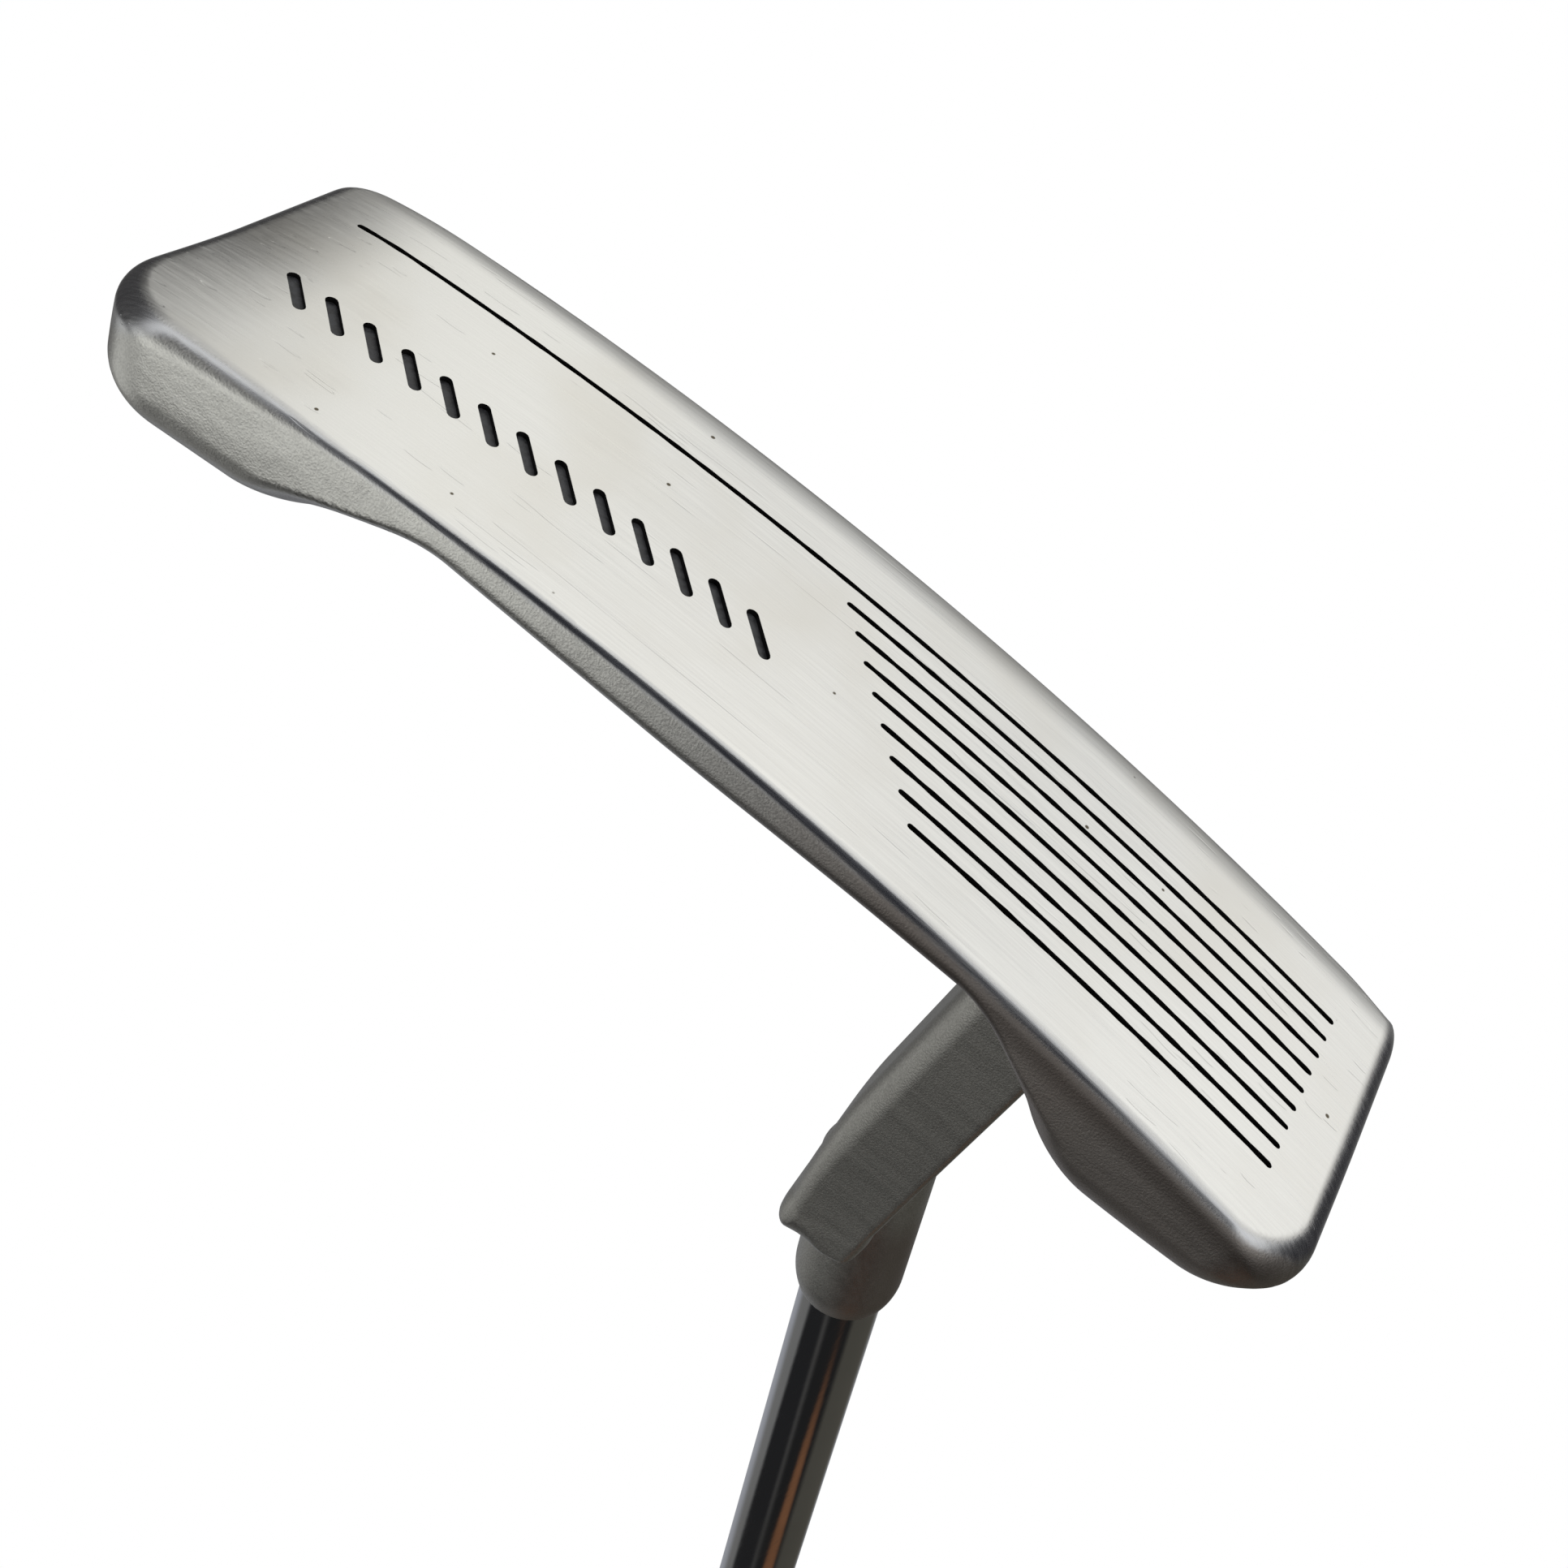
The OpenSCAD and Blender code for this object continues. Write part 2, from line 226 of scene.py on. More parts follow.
def settle(field, p, rounds=3):
    """Moves points onto the surface along the field's slope."""
    for _ in range(rounds):
        g = gradient(field, p)
        slope = np.maximum((g * g).sum(1), 0.05)
        p = p - np.clip(field(*p.T) / slope, -VOXEL, VOXEL)[:, None] * g
    return p


def mesh_field(field, low, high, pitch):
    """Points and four-sided faces of the field's surface."""
    axes = [np.arange(a, b, pitch, dtype=np.float32) for a, b in zip(low, high)]
    x, y, z = np.meshgrid(*axes, indexing="ij", sparse=True)
    values = np.ascontiguousarray(field(x, y, z), dtype=np.float32)
    grid = openvdb.FloatGrid(float(4 * pitch))
    grid.copyFromArray(np.clip(values, -4 * pitch, 4 * pitch))
    points, quads = grid.convertToQuads(isovalue=0.0)
    points = np.asarray(points, float) * pitch + np.array(low)
    return settle(field, points), np.asarray(quads)


def make_object(name, points, faces, materials, smooth=True):
    """A mesh object in the scene, from points in millimetres."""
    mesh = bpy.data.meshes.new(name)
    mesh.from_pydata(np.asarray(points) * MM, [], [tuple(f) for f in faces])
    mesh.update()
    for m in materials:
        mesh.materials.append(m)
    mesh.polygons.foreach_set("use_smooth", [smooth] * len(mesh.polygons))
    obj = bpy.data.objects.new(name, mesh)
    bpy.context.scene.collection.objects.link(obj)
    return obj


def on_shaft_axis(u, v, s):
    """Points from the shaft's own frame: u away from the player, v to the target, s up the shaft."""
    u, v, s = np.broadcast_arrays(u, v, s)
    foot, target = np.array([AXIS_X, AXIS_Y, 0.0]), np.array([0.0, 1.0, 0.0])
    return foot + u[..., None] * SHAFT_SIDE + v[..., None] * target + s[..., None] * SHAFT_DIR


def wrap(rings):
    """Faces of a closed skin through rings of points, the last ring joined to the first."""
    count, around = rings.shape[:2]
    i, j = np.meshgrid(np.arange(count), np.arange(around), indexing="ij")
    i2, j2 = (i + 1) % count, (j + 1) % around
    quads = np.stack([i * around + j, i * around + j2, i2 * around + j2, i2 * around + j], -1)
    return rings.reshape(-1, 3), quads.reshape(-1, 4)


def turned(profile, sides=96):
    """Rings of a closed profile of (radius, place) turned about the shaft's axis."""
    angle = np.arange(sides) * math.tau / sides
    return np.array([on_shaft_axis(r * np.cos(angle), r * np.sin(angle), s) for r, s in profile])


def carve(obj, cutter):
    """Cuts one object out of another; the cut faces keep the cutter's materials."""
    cut = obj.modifiers.new("cut", "BOOLEAN")
    cut.operation, cut.solver, cut.object = "DIFFERENCE", "MANIFOLD", cutter
    graph = bpy.context.evaluated_depsgraph_get()
    mesh = bpy.data.meshes.new_from_object(obj.evaluated_get(graph))
    obj.modifiers.clear()
    obj.data = mesh
    bpy.data.objects.remove(cutter)


# ---------------------------------------------------------------- material helpers
class Graph:
    """Adds nodes to one material's or world's tree."""

    def __init__(self, owner):
        owner.use_nodes = True
        self.tree = owner.node_tree

    def add(self, kind, inputs=(), **settings):
        node = self.tree.nodes.new(kind)
        for key, value in settings.items():
            setattr(node, key, value)
        for key, value in dict(inputs).items():
            if isinstance(value, bpy.types.NodeSocket):
                self.tree.links.new(value, node.inputs[key])
            else:
                node.inputs[key].default_value = value
        return node

    def coords(self):
        return self.add("ShaderNodeTexCoord").outputs["Object"]

    def noise(self, scale, detail=3.0, rough=0.5, turn=(0, 0, 0)):
        """Noise over the object, stretched by a scale in waves per metre along each axis."""
        place = self.add("ShaderNodeMapping", {"Vector": self.coords(), "Rotation": turn, "Scale": scale})
        node = self.add("ShaderNodeTexNoise",
                        {"Vector": place.outputs[0], "Scale": 1.0, "Detail": detail, "Roughness": rough})
        return node.outputs[0]

    def cells(self, density):
        """Distance to the nearest of many scattered points, density of them per metre."""
        place = self.add("ShaderNodeMapping", {"Vector": self.coords(), "Scale": (density,) * 3})
        node = self.add("ShaderNodeTexVoronoi", {"Vector": place.outputs[0], "Scale": 1.0})
        return node.outputs["Distance"]

    def spread(self, value, low, high, a=0.0, b=1.0):
        """value from low..high onto a..b, held at the ends."""
        node = self.add("ShaderNodeMapRange", {"Value": value, "From Min": low, "From Max": high,
                                               "To Min": a, "To Max": b}, interpolation_type="SMOOTHSTEP")
        return node.outputs[0]

    def math(self, operation, a, b):
        return self.add("ShaderNodeMath", {0: a, 1: b}, operation=operation).outputs[0]

    def mix(self, fac, a, b):
        """Colour a turning into b; inputs 0, 6 and 7 are the Mix node's factor and colours."""
        node = self.add("ShaderNodeMix", data_type="RGBA")
        for key, value in ((0, fac), (6, a), (7, b)):
            if isinstance(value, bpy.types.NodeSocket):
                self.tree.links.new(value, node.inputs[key])
            else:
                node.inputs[key].default_value = value if key == 0 else (*value, 1)
        return node.outputs[2]

    def bump(self, height, distance, strength=1.0, under=None):
        node = self.add("ShaderNodeBump", {"Height": height, "Distance": distance, "Strength": strength})
        if under is not None:
            self.tree.links.new(under, node.inputs["Normal"])
        return node.outputs[0]

    def blend(self, fac, a, b):
        """Normal a turning into b; inputs 4 and 5 are the Mix node's vectors."""
        return self.add("ShaderNodeMix", {0: fac, 4: a, 5: b}, data_type="VECTOR").outputs[1]

    def zone(self, name):
        return self.add("ShaderNodeAttribute", attribute_name=name).outputs["Fac"]


def material(name, build, **sockets):
    """A Principled material: the keywords are its constants, and build(graph) returns what is linked."""
    made = bpy.data.materials.new(name)
    graph = Graph(made)
    shader = graph.tree.nodes["Principled BSDF"]
    for key, value in sockets.items():
        shader.inputs[key.replace("_", " ")].default_value = value
    for key, socket in build(graph).items():
        graph.tree.links.new(socket, shader.inputs[key.replace("_", " ")])
    return made


# ---------------------------------------------------------------- materials
def casting_skin(g, grain, cloud):
    """Bead-blasted grey with painted light on the neck, brown where tarnished, darker with painted shade on
    the hosel's heel side, bright where rubbed.
    """
    mottle = g.spread(grain, 0.35, 0.65)
    skin = g.mix(mottle, (0.36, 0.355, 0.35), (0.47, 0.465, 0.455))
    # Painted light: the neck gets a lighter grey than the rest of the same blasted skin, to set how bright
    # it looks as lit.
    skin = g.mix(g.zone("neck"), skin, g.mix(mottle, (0.42, 0.415, 0.395), (0.52, 0.515, 0.49)))
    # Brown tarnish on the back wall, together with painted shade that darkens the hosel's heel side.
    tarnish_and_painted_shade = g.math("MULTIPLY", g.zone("tarnish_and_painted_shade"), g.spread(cloud, 0.3, 0.6, 0.7, 1.0))
    skin = g.mix(tarnish_and_painted_shade, skin, (0.35, 0.315, 0.295))
    rubbed = g.mix(g.spread(grain, 0.3, 0.7), (0.60, 0.60, 0.58), (0.72, 0.72, 0.69))
    return g.mix(g.zone("wear"), skin, rubbed)


def steel_colour(g, streak, grain, cloud):
    """The casting's skin, its polished edges and its brushed sole, with pits and a dark band low on the
    back wall.
    """
    lines = g.spread(streak, 0.3, 0.7)
    polished = g.mix(lines, (0.56, 0.57, 0.60), (0.68, 0.69, 0.71))
    brushed = g.mix(lines, (0.70, 0.70, 0.69), (0.80, 0.80, 0.785))
    brushed = g.mix(g.spread(cloud, 0.45, 0.75), brushed, (0.71, 0.70, 0.67))
    colour = g.mix(g.zone("edge"), casting_skin(g, grain, cloud), polished)
    colour = g.mix(g.zone("sole"), colour, brushed)
    pits = g.math("MULTIPLY", g.spread(g.cells(190), 0.048, 0.030), g.zone("sole"))
    colour = g.mix(pits, colour, (0.10, 0.085, 0.06))
    # A dark brown band low on the back wall, just above the sole's edge.
    return g.mix(g.math("MULTIPLY", g.zone("low_dark_band"), 0.8), colour, (0.055, 0.036, 0.030))


def steel_roughness(g, streak):
    rubbed = g.math("MAXIMUM", g.zone("sole"), g.zone("wear"))
    rough = g.mix(rubbed, (0.44,) * 3, (0.31,) * 3)
    rough = g.mix(g.zone("edge"), rough, (0.25,) * 3)
    return g.math("ADD", rough, g.spread(streak, 0.3, 0.7, -0.04, 0.04))


def steel_relief(g, streak, grain):
    """Brush lines and scratches on the sole and edges; grain and shallow dents elsewhere."""
    one_way = g.spread(g.noise((30, 1500, 1500), detail=1, turn=(0, 0, 0.5)), 0.70, 0.73)
    other_way = g.spread(g.noise((40, 1200, 1200), detail=1, turn=(0, 0, -0.9)), 0.71, 0.74)
    scratches = g.math("MULTIPLY", g.math("MAXIMUM", one_way, other_way), -1.4)
    fine = g.bump(g.math("ADD", streak, scratches), 0.000008)
    dents = g.noise((300, 200, 420), detail=2, turn=(0.2, 0.5, 0.3))
    coarse = g.bump(g.math("MULTIPLY", dents, g.zone("wear")), 0.00008, under=g.bump(grain, 0.00003))
    smooth = g.math("MAXIMUM", g.zone("sole"), g.zone("edge"))
    return g.blend(g.math("SUBTRACT", 1.0, smooth), fine, coarse)


def cast_steel():
    """Brushed sole, polished soft edges, and bead-blasted casting skin elsewhere."""
    def build(g):
        streak = g.noise((90, 3800, 900), detail=4, rough=0.7)
        grain = g.noise((5200, 5200, 5200), detail=2)
        cloud = g.noise((60, 60, 60))
        return {"Base_Color": steel_colour(g, streak, grain, cloud),
                "Roughness": steel_roughness(g, streak), "Normal": steel_relief(g, streak, grain)}
    return material("cast_steel", build, Metallic=1.0)


def paint(name, dark, light, rough=0.45, spots=1500):
    """Paint that has settled in an engraving, a little uneven and matt."""
    def build(g):
        mottle = g.noise((spots,) * 3, detail=4)
        return {"Base_Color": g.mix(g.spread(mottle, 0.35, 0.65), dark, light),
                "Roughness": g.spread(mottle, 0.3, 0.7, rough - 0.1, rough + 0.15),
                "Normal": g.bump(mottle, 0.00005)}
    return material(name, build, Specular_IOR_Level=0.4)


def chrome():
    """Bright plate with handling haze and faint lengthwise hairlines."""
    def build(g):
        haze = g.noise((45, 45, 30), detail=4, rough=0.6)
        hair = g.noise((2600, 2600, 60), detail=3, turn=(0, math.pi / 2 - LIE, 0))
        colour = g.mix(g.spread(haze, 0.35, 0.7), (0.60, 0.61, 0.63), (0.53, 0.535, 0.545))
        rough = g.math("ADD", g.spread(haze, 0.35, 0.7, 0.07, 0.15), g.spread(hair, 0.5, 0.8, 0.0, 0.05))
        return {"Base_Color": colour, "Roughness": rough, "Normal": g.bump(hair, 0.000003)}
    return material("shaft_chrome", build, Metallic=1.0)


def rubber(name, dark, light):
    """Moulded rubber: fine pebbled skin, dusty in places."""
    def build(g):
        pebble = g.cells(1500)
        dust = g.noise((38, 38, 38), detail=5, rough=0.6)
        colour = g.mix(g.spread(dust, 0.4, 0.72), dark, light)
        return {"Base_Color": colour, "Roughness": g.spread(dust, 0.3, 0.7, 0.62, 0.85),
                "Normal": g.bump(pebble, 0.00010, 0.6)}
    return material(name, build, Specular_IOR_Level=0.35)


def epoxy():
    """Cured adhesive with tiny bubbles."""
    def build(g):
        bubbles = g.spread(g.cells(1700), 0.15, 0.3)
        cloud = g.noise((600,) * 3, detail=3)
        return {"Base_Color": g.mix(g.spread(cloud, 0.35, 0.65), (0.36, 0.27, 0.14), (0.50, 0.40, 0.24)),
                "Roughness": g.spread(cloud, 0.3, 0.7, 0.25, 0.45), "Normal": g.bump(bubbles, 0.00006)}
    return material("epoxy", build)


def cork():
    """Pressed cork of the tip plug."""
    def build(g):
        grains = g.cells(900)
        cloud = g.noise((700,) * 3, detail=4)
        return {"Base_Color": g.mix(g.spread(g.math("ADD", grains, cloud), 0.6, 1.1),
                                    (0.22, 0.12, 0.055), (0.55, 0.37, 0.20)),
                "Roughness": g.spread(cloud, 0.3, 0.7, 0.75, 0.95), "Normal": g.bump(grains, 0.00015)}
    return material("plug", build)


def rule_places():
    """Where the band's two rules lie along the shaft, in metres from the frame's origin."""
    low, high = (SHAFT_DIR @ np.array(corner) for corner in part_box("shaft_band"))
    middle = float(low + high) / 2
    return middle - RULE_APART / 2, middle + RULE_APART / 2


def near(g, place, centre):
    """1 within half a rule's width of the centre, 0 elsewhere, with a soft edge."""
    distance = g.math("ABSOLUTE", g.math("SUBTRACT", place, centre), 0.0)
    return g.spread(distance, RULE_W / 2 + 0.0001, RULE_W / 2 - 0.0001)


def foil():
    """The shaft band: satin printed foil with two thin dark rules near its ends."""
    def build(g):
        along = g.add("ShaderNodeVectorMath", {0: g.coords(), 1: tuple(SHAFT_DIR)}, operation="DOT_PRODUCT")
        grain = g.noise((3000, 3000, 140), detail=3, turn=(0, math.pi / 2 - LIE, 0))
        low, high = (near(g, along.outputs["Value"], centre) for centre in rule_places())
        colour = g.mix(g.spread(grain, 0.3, 0.7), (0.19, 0.21, 0.24), (0.27, 0.29, 0.32))
        return {"Base_Color": g.mix(g.math("MAXIMUM", low, high), colour, (0.02, 0.02, 0.022)),
                "Roughness": g.spread(grain, 0.3, 0.7, 0.28, 0.42), "Normal": g.bump(grain, 0.00001)}
    return material("band", build, Metallic=0.8)


def tape():
    """Creped paper tape under the grip."""
    def build(g):
        crepe = g.noise((500, 500, 2600), detail=4, turn=(0, math.pi / 2 - LIE, 0))
        return {"Base_Color": g.mix(g.spread(crepe, 0.3, 0.7), (0.52, 0.43, 0.28), (0.72, 0.64, 0.47)),
                "Roughness": g.spread(crepe, 0.3, 0.7, 0.7, 0.9), "Normal": g.bump(crepe, 0.00008)}
    return material("tape", build)


def studio_paper():
    """Matt, slightly uneven paper that glows a little, so that it stays pale in any view."""
    def build(g):
        cloud = g.noise((3, 3, 3), detail=2)
        return {"Base_Color": g.mix(cloud, (0.86, 0.86, 0.85), (0.90, 0.90, 0.89)),
                "Roughness": g.spread(cloud, 0.3, 0.7, 0.8, 0.9)}
    return material("studio_paper", build, Emission_Color=(1, 1, 1, 1), Emission_Strength=0.55)


# ---------------------------------------------------------------- the head
STEEL, BLACK, SIGHT = range(3)   # places in the casting's list of materials
OFF_SURFACE = 0.03               # points further than this from the casting's skin are on a cut


def strip(a, b, half_width, wobble=0.0):
    """Points and faces of an engraving cutter along the sole from a to b, round at both ends."""
    a, b = np.array(a, float), np.array(b, float)
    length = np.linalg.norm(b - a)
    along, across = (b - a) / length, np.array([a[1] - b[1], b[0] - a[0]]) / length
    d = np.concatenate([np.array([0.02, 0.15, 0.5, 1.0]) * half_width,
                        np.arange(2 * half_width, length - 2 * half_width, 0.9),
                        length - np.array([1.0, 0.5, 0.15, 0.02]) * half_width])
    to_end = np.minimum(np.minimum(d, length - d), half_width) / half_width
    wave = wobble * (np.sin(2.1 * d + a[1]) + np.sin(5.3 * d + 2 * a[1])) / 2
    half = half_width * np.sqrt(1 - (1 - to_end) ** 2) + np.where(to_end < 1, 0, wave)
    middle = a + d[:, None] * along
    rings = []
    for side, depth in ((-1, -STAND_OFF), (1, -STAND_OFF), (1, ENGRAVE), (-1, ENGRAVE)):
        p = middle + side * half[:, None] * across
        rings.append(np.stack([p[:, 0], p[:, 1], sole_height(p[:, 0], p[:, 1]) + depth], -1))
    rings = np.stack(rings, 1)
    points, faces = wrap(rings)
    last = len(points) - 4
    return points, faces[:-4].tolist() + [[3, 2, 1, 0], [last, last + 1, last + 2, last + 3]]


def block(low, high):
    """Points and faces of a plain upright cutter."""
    points = [[(low, high)[i][0], (low, high)[j][1], (low, high)[k][2]]
              for i in (0, 1) for j in (0, 1) for k in (0, 1)]
    faces = [[0, 1, 3, 2], [4, 6, 7, 5], [0, 4, 5, 1], [2, 3, 7, 6], [0, 2, 6, 4], [1, 5, 7, 3]]
    return np.array(points), faces


def bore():
    """Points and faces of the cutter for the hosel bore."""
    rings = turned([(BORE_R, BORE_BOTTOM), (BORE_R, HOSEL_TOP + 1)])
    points, faces = wrap(rings)
    sides = rings.shape[1]
    ends = [list(range(sides))[::-1], list(range(sides, 2 * sides))]
    return points, faces[:sides].tolist() + ends


def head_cutters():
    """Every engraving and the bore, each with its material's place."""
    end = LINE_HALF + GROOVE_W / 2
    yield strip((-end, 0), (end, 0), GROOVE_W / 2, LINE_WOBBLE), BLACK
    for i in range(GROOVE_COUNT):
        y = -(i + 1) * GROOVE_PITCH
        toe_end = GROOVE_END - i * GROOVE_STEP + GROOVE_W / 2
        yield strip((-end, y), (toe_end, y), GROOVE_W / 2, GROOVE_WOBBLE), BLACK
    reach = MARK_HALF + MARK_W / 2 / math.sqrt(2)
    for i in range(MARK_BARS):
        x = MARK_START + i * MARK_PITCH
        yield strip((x - reach, MARK_Y - reach), (x + reach, MARK_Y + reach), MARK_W / 2), BLACK
    floor = FLOOR_Z + FLOOR_RISE - SIGHT_DEPTH
    yield block((-SIGHT_W / 2, SIGHT_Y, floor), (SIGHT_W / 2, SIGHT_Y + SIGHT_LEN, floor + 5)), SIGHT
    yield bore(), STEEL


def gather(parts):
    """One set of points, faces and material places from many."""
    points, faces, places, start = [], [], [], 0
    for (p, f), place in parts:
        points.append(p)
        faces += [[start + i for i in face] for face in f]
        places += [place] * len(f)
        start += len(p)
    return np.concatenate(points), faces, places


def head_zones(mesh, points, normals):
    """Marks where the casting is brushed, polished, worn bright, darkened in a low band and tarnished,
    where the hosel has painted shade and where the neck has painted light.
    """
    x, y, z = points.T
    over_sole = z - sole_height(x, y)
    sole_zone = step(0.86, 0.985, -normals[:, 2]) * step(1.6, 1.0, over_sole)
    heel_side = step(-52, -58, x) * step(-25, -19, y)
    reach = mix(0.7, 4.5, np.maximum(step(-18, -8, y), np.maximum(step(50, 57, x), heel_side)))
    edge_zone = step(1.0, 0.55, over_sole / reach) * (1 - sole_zone)
    wear = step(0.7, 0.9, -normals[:, 1]) * step(-12, 20, x) * step(-20, -23, y)
    low_band = step(0.5, 1.4, over_sole) * step(3.6, 1.6, over_sole)
    # A dark brown band on the heel half of the back wall, just above the sole's edge.
    low_dark_band = 0.6 * step(-4, -30, x) * step(-24, -26, y) * low_band
    # Painted shade: the heel side of the hosel's top is darkened in colour where it turns away from the
    # light.
    hosel_painted_shade = step(62, 68, z) * step(0.2, -0.5, normals[:, 0])
    # Real tarnish on the heel half of the back wall, and the painted shade on the hosel.
    tarnish_and_painted_shade = np.maximum(step(2, -26, x) * step(-19, -25, y) * (1 - sole_zone), hosel_painted_shade)
    # Painted light: marks the neck, whose blasted skin is painted a lighter grey than the rest.
    neck_painted_light = step(12, 18, z) * step(-22, -27, x)
    zones = {"sole": sole_zone, "edge": edge_zone, "wear": wear, "low_dark_band": low_dark_band,
             "tarnish_and_painted_shade": tarnish_and_painted_shade, "neck": neck_painted_light}
    for name, values in zones.items():
        marks = mesh.attributes.new(name, "FLOAT", "POINT")
        marks.data.foreach_set("value", values.astype(np.float32))


def head_normals(mesh, points, normals):
    """True normals of the smooth surface on the casting's faces, flat ones on cut faces."""
    corners = np.empty(len(mesh.loops), int)
    mesh.loops.foreach_get("vertex_index", corners)
    flat = np.empty(len(mesh.polygons) * 3)
    mesh.polygons.foreach_get("normal", flat)
    totals = np.empty(len(mesh.polygons), int)
    mesh.polygons.foreach_get("loop_total", totals)
    flat = np.repeat(flat.reshape(-1, 3), totals, 0)
    true = normals[corners]
    on_cut = np.abs(casting(*points.T))[corners] > OFF_SURFACE
    turned_away = (flat * true).sum(1) < 0.5
    mesh.normals_split_custom_set(np.where((on_cut | turned_away)[:, None], flat, true))


def make_head(steel, black, sight):
    """The engraved casting, with its zones and normals."""
    points, quads = mesh_field(casting, *HEAD_BOX, VOXEL)
    head = make_object("head_casting_visual", points, quads, [steel, black, sight])
    cut_points, cut_faces, places = gather(head_cutters())
    cutter = make_object("head_cutter", cut_points, cut_faces, [steel, black, sight], smooth=False)
    cutter.data.polygons.foreach_set("material_index", places)
    carve(head, cutter)
    mesh = head.data
    points = np.empty(len(mesh.vertices) * 3)
    mesh.vertices.foreach_get("co", points)
    points = points.reshape(-1, 3) / MM
    normals = gradient(casting, points)
    normals /= np.linalg.norm(normals, axis=1, keepdims=True)
    head_zones(mesh, points, normals)
    head_normals(mesh, points, normals)
    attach(head, "root")
    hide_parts("head_casting")


# ---------------------------------------------------------------- shaft, grip and cap
def shaft_profile(inset):
    """(radius, place) up the stepped tube, thinner by the inset."""
    gain = (BUTT_R - TIP_R) / STEP_COUNT
    profile = [(TIP_R - inset, TIP_AT)]
    for i in range(STEP_COUNT):
        s, r = TIP_AT + FIRST_STEP + i * STEP_PITCH, TIP_R + i * gain - inset
        for t in (0.0, 0.25, 0.5, 0.75, 1.0):
            profile.append((r + gain * step(0, 1, t), s + STEP_LEN * t))
    return profile + [(BUTT_R - inset, SHAFT_END)]


def make_shaft(finish):
    """The stepped tube, open at both ends."""
    points, faces = wrap(turned(shaft_profile(0) + shaft_profile(SHAFT_WALL)[::-1]))
    shaft = make_object("shaft_visual", points, faces, [finish])
    shaft.data.set_sharp_from_angle(angle=math.radians(40))
    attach(shaft, "root")
    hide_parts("shaft")


def grip_radius(s, angle):
    """Distance from the shaft's axis to the grip's smooth skin; s runs up from the mouth."""
    stations = (0, 60, 150, 215, GRIP_LEN)
    width = np.interp(s, stations, (19, 21, 25, 27, 26))
    flat = np.interp(s, stations, (THUMB_X - 1.2, THUMB_X - 1, THUMB_X, THUMB_X, THUMB_X))
    return np.minimum(width / 2, flat / np.maximum(np.cos(angle), 1e-3))


def grip_relief(s, angle):
    """Depth of the moulded pattern: dimples round the back and fine ribs on the thumb rest."""
    thumb = step(0.75, 0.86, np.cos(angle))
    ends = step(10, 16, s) * step(GRIP_LEN - 6, GRIP_LEN - 12, s)
    dimple = np.cos(math.pi * s / DIMPLE_PITCH) * np.cos(DIMPLES_ROUND * angle)
    back = DIMPLE * step(0.25, 0.7, np.abs(dimple)) * (1 - thumb)
    rib = RIB * step(0.2, 0.8, np.cos(math.tau * s / RIB_PITCH)) * thumb
    line_end = LINE_AT + LINE_LEN
    line = step(LINE_AT - 6, LINE_AT - 3, s) * step(line_end + 6, line_end + 3, s)
    return ends * (back + rib * (1 - line))


def make_grip(skin):
    """The rubber sleeve, with a slot in its thumb rest for the painted line."""
    angle = np.arange(GRIP_SIDES) * math.tau / GRIP_SIDES
    s = np.append(np.arange(0, GRIP_LEN, 0.8), GRIP_LEN)
    outer = grip_radius(s[:, None], angle[None]) - grip_relief(s[:, None], angle[None])
    outer -= MOUTH_ROUND * np.clip(1 - s / 2.5, 0, 1)[:, None] ** 2
    rings = on_shaft_axis(outer * np.cos(angle), outer * np.sin(angle), GRIP_START + s[:, None])
    inner = turned([(GRIP_BORE_R, GRIP_START + GRIP_LEN * t) for t in np.linspace(1, 0, 12)], GRIP_SIDES)
    points, faces = wrap(np.concatenate([rings, inner]))
    grip = make_object("grip_visual", points, faces, [skin])
    grip.data.set_sharp_from_angle(angle=math.radians(50))
    local, faces = block((THUMB_X - LINE_T, -LINE_W / 2, GRIP_START + LINE_AT),
                         (THUMB_X + 2, LINE_W / 2, GRIP_START + LINE_AT + LINE_LEN))
    cutter = make_object("grip_cutter", on_shaft_axis(*local.T), faces, [skin], smooth=False)
    carve(grip, cutter)
    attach(grip, "root")
    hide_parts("grip")


def make_cap(skin):
    """Butt cap: the grip's outline, a round rim, a shallow ring and the vent hole."""
    angle = np.arange(GRIP_SIDES) * math.tau / GRIP_SIDES
    edge = grip_radius(np.full((1, 1), GRIP_LEN), angle[None])[0]
    # How far out from the vent hole to the grip's edge, and how high above the grip's end.
    profile = [(0.0, 0.0), (1.0, 0.0), (1.0, 1.0), (1.0, 2.2), (0.985, 3.0), (0.955, 3.6), (0.91, 4.0),
               (0.80, 4.0), (0.78, 3.7), (0.66, 3.7), (0.64, 4.0), (0.3, 4.0), (0.06, 4.0), (0.0, 3.6)]
    rings = []
    for share, height in profile:
        radius = mix(VENT_R, edge, share)
        rings.append(on_shaft_axis(radius * np.cos(angle), radius * np.sin(angle), GRIP_END + height))
    points, faces = wrap(np.array(rings))
    cap = make_object("grip_cap_visual", points, faces, [skin])
    cap.data.set_sharp_from_angle(angle=math.radians(50))
    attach(cap, "root")
    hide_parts("grip_cap")


def finish_node(name, made):
    """Gives a CAD node its material."""
    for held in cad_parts[name].material_slots:
        held.material = made


# ---------------------------------------------------------------- camera, light and floor
CAMERA_AT = Vector((-15.8, -132.8, -94.4)) * MM
CAMERA_TO = Vector((0.0614, 0.7514, 0.6570))
CAMERA_UP = Vector((0.6380, 0.4767, -0.6048))
CAMERA_LENS = 45.02


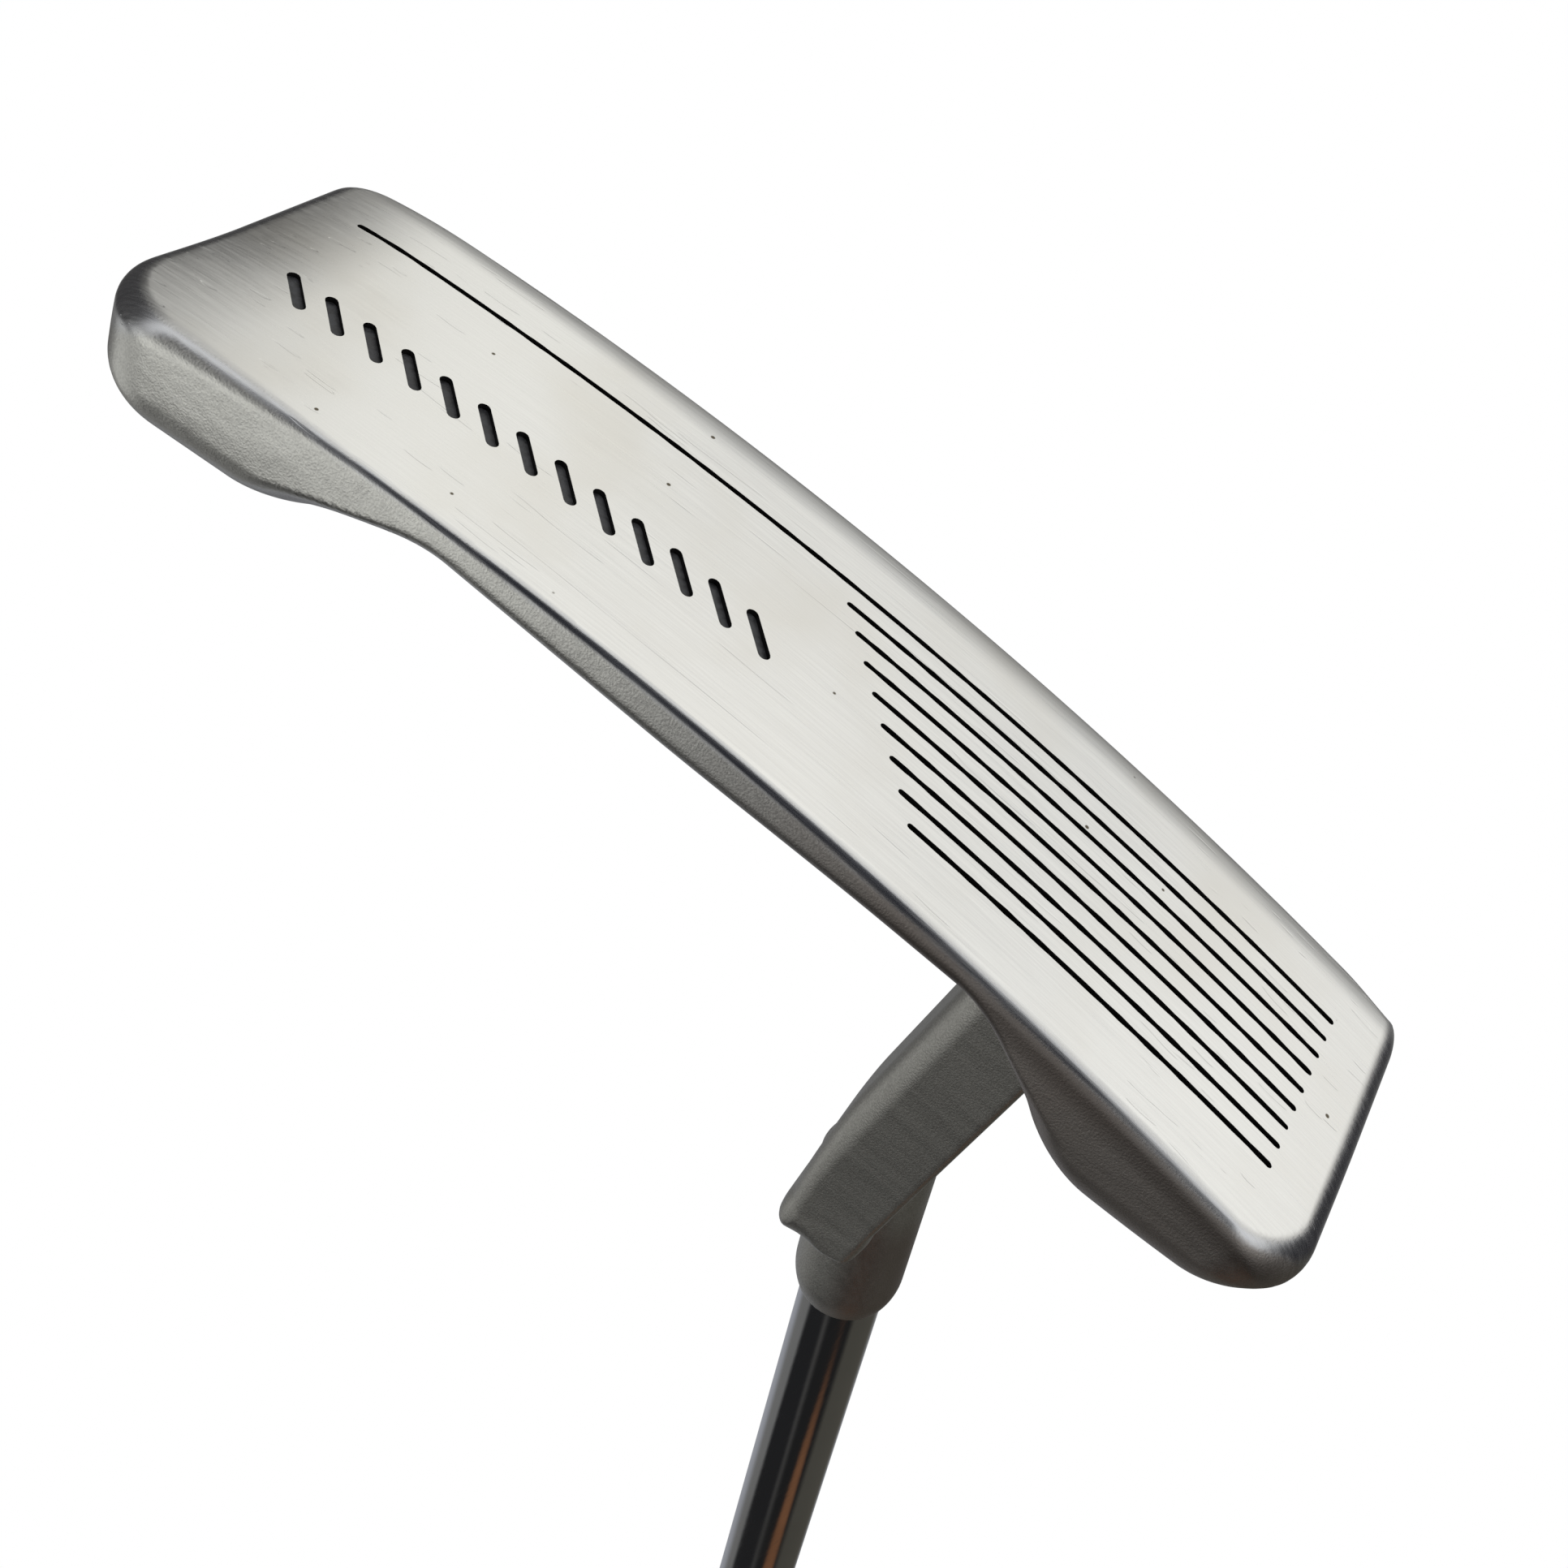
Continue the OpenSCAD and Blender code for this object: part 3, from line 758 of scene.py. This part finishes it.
def make_camera():
    """The photograph's view: from below and behind, looking up at the sole."""
    data = bpy.data.cameras.new("camera")
    data.sensor_width = 36
    data.lens = CAMERA_LENS
    data.clip_start = 0.01
    cam = bpy.data.objects.new("camera", data)
    bpy.context.scene.collection.objects.link(cam)
    back = -CAMERA_TO.normalized()
    right = CAMERA_UP.cross(back).normalized()
    up = back.cross(right)
    cam.matrix_world = Matrix.Translation(CAMERA_AT) @ Matrix((right, up, back)).transposed().to_4x4()
    bpy.context.scene.camera = cam


# Soft cards round the object: the way to each, the cosines at which it starts and is full, and
# its colour. A later card covers the ones before it, and the room shows where there is none.
ROOM = (0.20, 0.198, 0.192)
CARDS = [
    ((0, 0, -1), -0.15, 0.80, (1.00, 1.00, 0.98)),                # pale ground, below
    ((0.10, 0.66, -0.74), 0.965, 0.995, (1.20, 1.18, 1.12)),      # brightest stretch of the ground
    ((0.54, 0.68, -0.50), 0.93, 0.985, (1.18, 1.17, 1.11)),       # the same towards the toe
    ((-0.46, 0.66, -0.60), 0.93, 0.985, (1.18, 1.17, 1.13)),      # and towards the heel
    ((0, 0.45, 0.89), 0.86, 0.97, (0.36, 0.37, 0.40)),            # overhead softbox
    ((0.72, -0.10, 0.69), 0.93, 0.99, (0.62, 0.62, 0.60)),        # key light, above the toe
    ((1, 0.25, -0.1), 0.68, 0.81, (0.06, 0.058, 0.058)),          # dark side beyond the toe
    ((-0.85, 0.40, 0.05), 0.74, 0.92, (0.034, 0.033, 0.036)),     # dark corner beyond the heel
    ((-0.80, 0.10, 0.60), 0.76, 0.92, (0.085, 0.08, 0.066)),      # dull side above the heel
    ((0.52, -0.82, 0.20), 0.82, 0.985, (0.86, 0.86, 0.83)),       # light behind, beyond the toe
    ((-0.35, -0.68, 0.65), 0.88, 0.96, (0.09, 0.087, 0.082)),     # shade behind, above the heel
    ((0.06, -0.66, -0.75), 0.78, 0.90, (0.02, 0.021, 0.028)),     # shade where the viewer stands
    ((0.02, -0.44, 0.90), 0.935, 0.975, (0.020, 0.020, 0.021)),   # black flag over the shaft
    ((-0.62, -0.59, 0.52), 0.87, 0.95, (0.018, 0.018, 0.018)),    # black flag beside it
    ((-0.61, -0.33, 0.72), 0.983, 0.994, (0.23, 0.105, 0.052)),   # warm reflection of a hand
]


def make_world():
    """Plain white to the eye; for light and reflections a soft studio of large cards."""
    world = bpy.data.worlds.new("world")
    g = Graph(world)
    way = g.add("ShaderNodeTexCoord").outputs["Generated"]
    colour = ROOM
    for axis, low, high, card in CARDS:
        unit = tuple(Vector(axis).normalized())
        dot = g.add("ShaderNodeVectorMath", {0: way, 1: unit}, operation="DOT_PRODUCT").outputs["Value"]
        colour = g.mix(g.spread(dot, low, high), colour, card)
    seen = g.add("ShaderNodeLightPath").outputs["Is Camera Ray"]
    colour = g.mix(seen, colour, (1.0, 1.0, 1.0))
    g.tree.links.new(colour, g.tree.nodes["Background"].inputs["Color"])
    bpy.context.scene.world = world


def make_floor():
    """A pale floor below the club, seen by the camera but kept out of the club's light."""
    half = FLOOR_HALF
    points = np.array([(-half, -half, 0), (half, -half, 0), (half, half, 0), (-half, half, 0)])
    floor = make_object("studio_floor", points / MM, [[0, 1, 2, 3]], [studio_paper()])
    floor.location = (-0.12, 0, FLOOR_AT)
    floor.visible_glossy = False
    floor.visible_diffuse = False
    floor.visible_shadow = False


# ---------------------------------------------------------------- build
make_camera()
make_world()
make_floor()
bpy.context.scene.view_settings.view_transform = "Standard"

black_paint = paint("groove_paint", (0.004, 0.004, 0.004), (0.012, 0.011, 0.011))
grey_paint = paint("mark_paint", (0.035, 0.036, 0.040), (0.085, 0.087, 0.095), 0.5)
sight_paint = paint("sight_paint", (0.006, 0.006, 0.007), (0.016, 0.016, 0.017))
white_paint = paint("grip_paint", (0.66, 0.66, 0.63), (0.80, 0.80, 0.77), 0.5, 900)

make_head(cast_steel(), black_paint, sight_paint)
make_shaft(chrome())
make_grip(rubber("grip_rubber", (0.012, 0.012, 0.013), (0.030, 0.029, 0.028)))
make_cap(rubber("cap_rubber", (0.009, 0.009, 0.010), (0.020, 0.020, 0.020)))

finish_node("long_line_fill", black_paint)
finish_node("short_groove_fill", black_paint)
finish_node("motif_fill", grey_paint)
finish_node("sight_line_fill", sight_paint)
finish_node("hosel_epoxy", epoxy())
finish_node("tip_plug", cork())
finish_node("shaft_band", foil())
finish_node("grip_tape", tape())
finish_node("grip_line_fill", white_paint)
